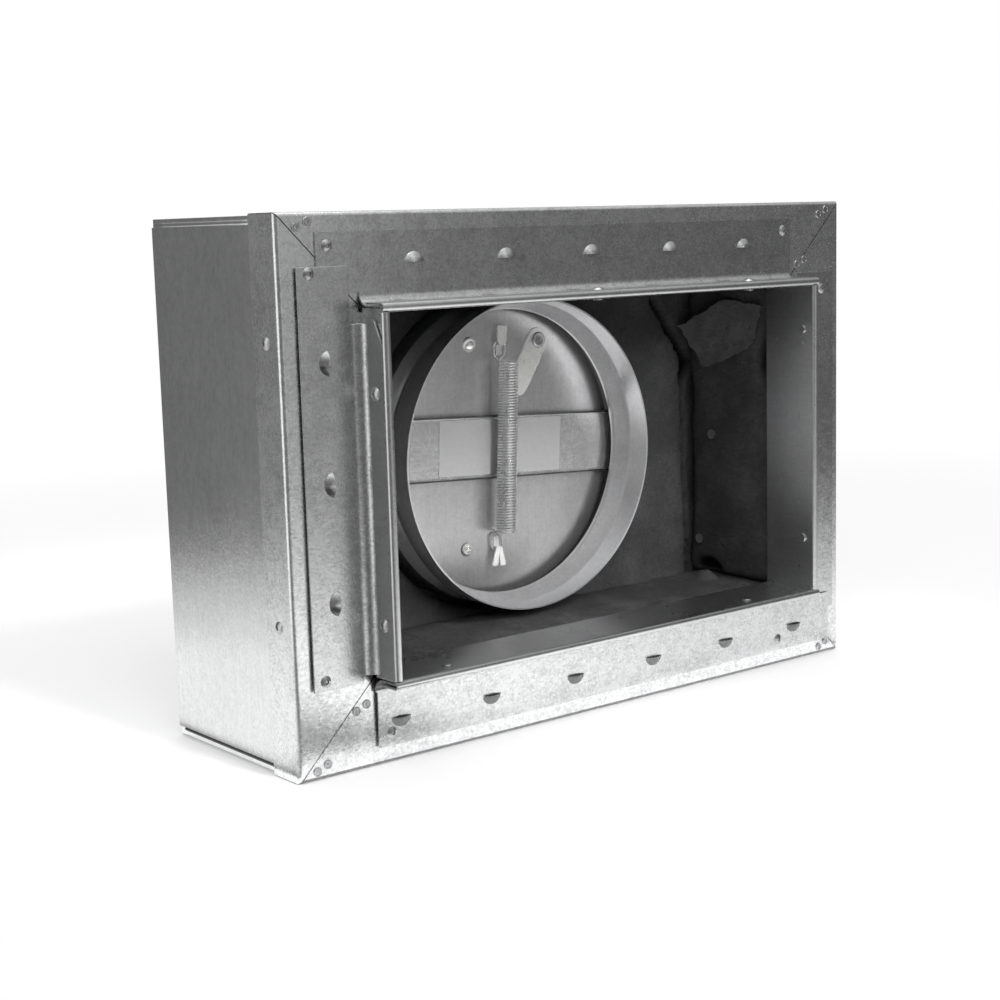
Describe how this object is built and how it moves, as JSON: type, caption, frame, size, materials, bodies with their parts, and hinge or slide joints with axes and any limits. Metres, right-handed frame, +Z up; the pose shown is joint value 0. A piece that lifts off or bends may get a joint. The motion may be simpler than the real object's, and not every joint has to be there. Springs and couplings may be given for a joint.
{
  "type": "ceiling radiation damper",
  "caption": "Spring closed round butterfly damper with a fusible link, set in an insulated sheet steel register box with a rectangular neck at the front and a round duct spigot at the back",
  "frame": {"origin": "On the surface the part stands on, below the middle of its bounding box", "axes": "+X runs to the right along the face as seen from the room, +Y runs from the room side through the box to the duct spigot, +Z is up while the part stands on its long side"},
  "size_m": [0.3378, 0.173, 0.2338],
  "materials": {
    "galvanised_sheet": "hot dip galvanised sheet with a fine spangle, lightly scuffed",
    "zinc_fasteners": "dull zinc plated steel",
    "duct_liner": "black matt coated glass fibre duct liner",
    "sleeve_sheet": "rolled galvanised sheet, satin",
    "blade_sheet": "galvanised sheet, satin, with soft reflections",
    "spring_wire": "bright zinc plated spring wire",
    "label_film": "blank silver grey label, satin",
    "link_metal": "bright plated soldered link"
  },
  "bodies": {
    "root": {"top_panel": "galvanised_sheet", "bottom_panel": "galvanised_sheet", "left_panel": "galvanised_sheet", "right_panel": "galvanised_sheet", "back_panel": "galvanised_sheet", "frame_top": "galvanised_sheet", "frame_bottom": "galvanised_sheet", "frame_left": "galvanised_sheet", "frame_right": "galvanised_sheet", "corner_clinches": "zinc_fasteners", "side_rivets": "zinc_fasteners", "rail_top": "galvanised_sheet", "rail_bottom": "galvanised_sheet", "rail_left": "galvanised_sheet", "rail_right": "galvanised_sheet", "rail_screws": "zinc_fasteners", "neck_top": "galvanised_sheet", "neck_bottom": "galvanised_sheet", "neck_left": "galvanised_sheet", "neck_right": "galvanised_sheet", "neck_rivets": "zinc_fasteners", "liner_top": "duct_liner", "liner_bottom": "duct_liner", "liner_left": "duct_liner", "liner_right": "duct_liner", "liner_back": "duct_liner", "liner_flap": "duct_liner", "liner_pins": "zinc_fasteners", "damper_sleeve": "sleeve_sheet", "sleeve_flange": "sleeve_sheet", "flange_rivets": "zinc_fasteners", "cross_bar": "blade_sheet", "bar_rivets": "zinc_fasteners", "label_plate": "label_film", "hinge_rod": "zinc_fasteners", "spring": "spring_wire"},
    "upper_blade": {"upper_blade": "blade_sheet", "upper_clip": "blade_sheet", "upper_blade_rivet": "blade_sheet", "link_plate_fixed": "link_metal", "link_plate_free": "link_metal", "link_rivet": "zinc_fasteners"},
    "lower_blade": {"lower_blade": "blade_sheet", "lower_clip": "blade_sheet", "lower_blade_rivet": "blade_sheet"}
  },
  "joints": [
    {"name": "upper_blade_hinge", "type": "hinge", "parent": "root", "child": "upper_blade", "pos_m": [0, 0.00886, 0.1169], "axis": [-0.9986, 0, 0.0523], "range_deg": [0, 82], "stiffness_Nm_per_rad": 0.08, "springref_deg": -28.65, "deforming": ["spring"]},
    {"name": "lower_blade_hinge", "type": "hinge", "parent": "root", "child": "lower_blade", "pos_m": [0, 0.00886, 0.1169], "axis": [0.9986, 0, -0.0523], "range_deg": [0, 82], "stiffness_Nm_per_rad": 0.08, "springref_deg": -28.65, "deforming": ["spring"]}
  ]
}
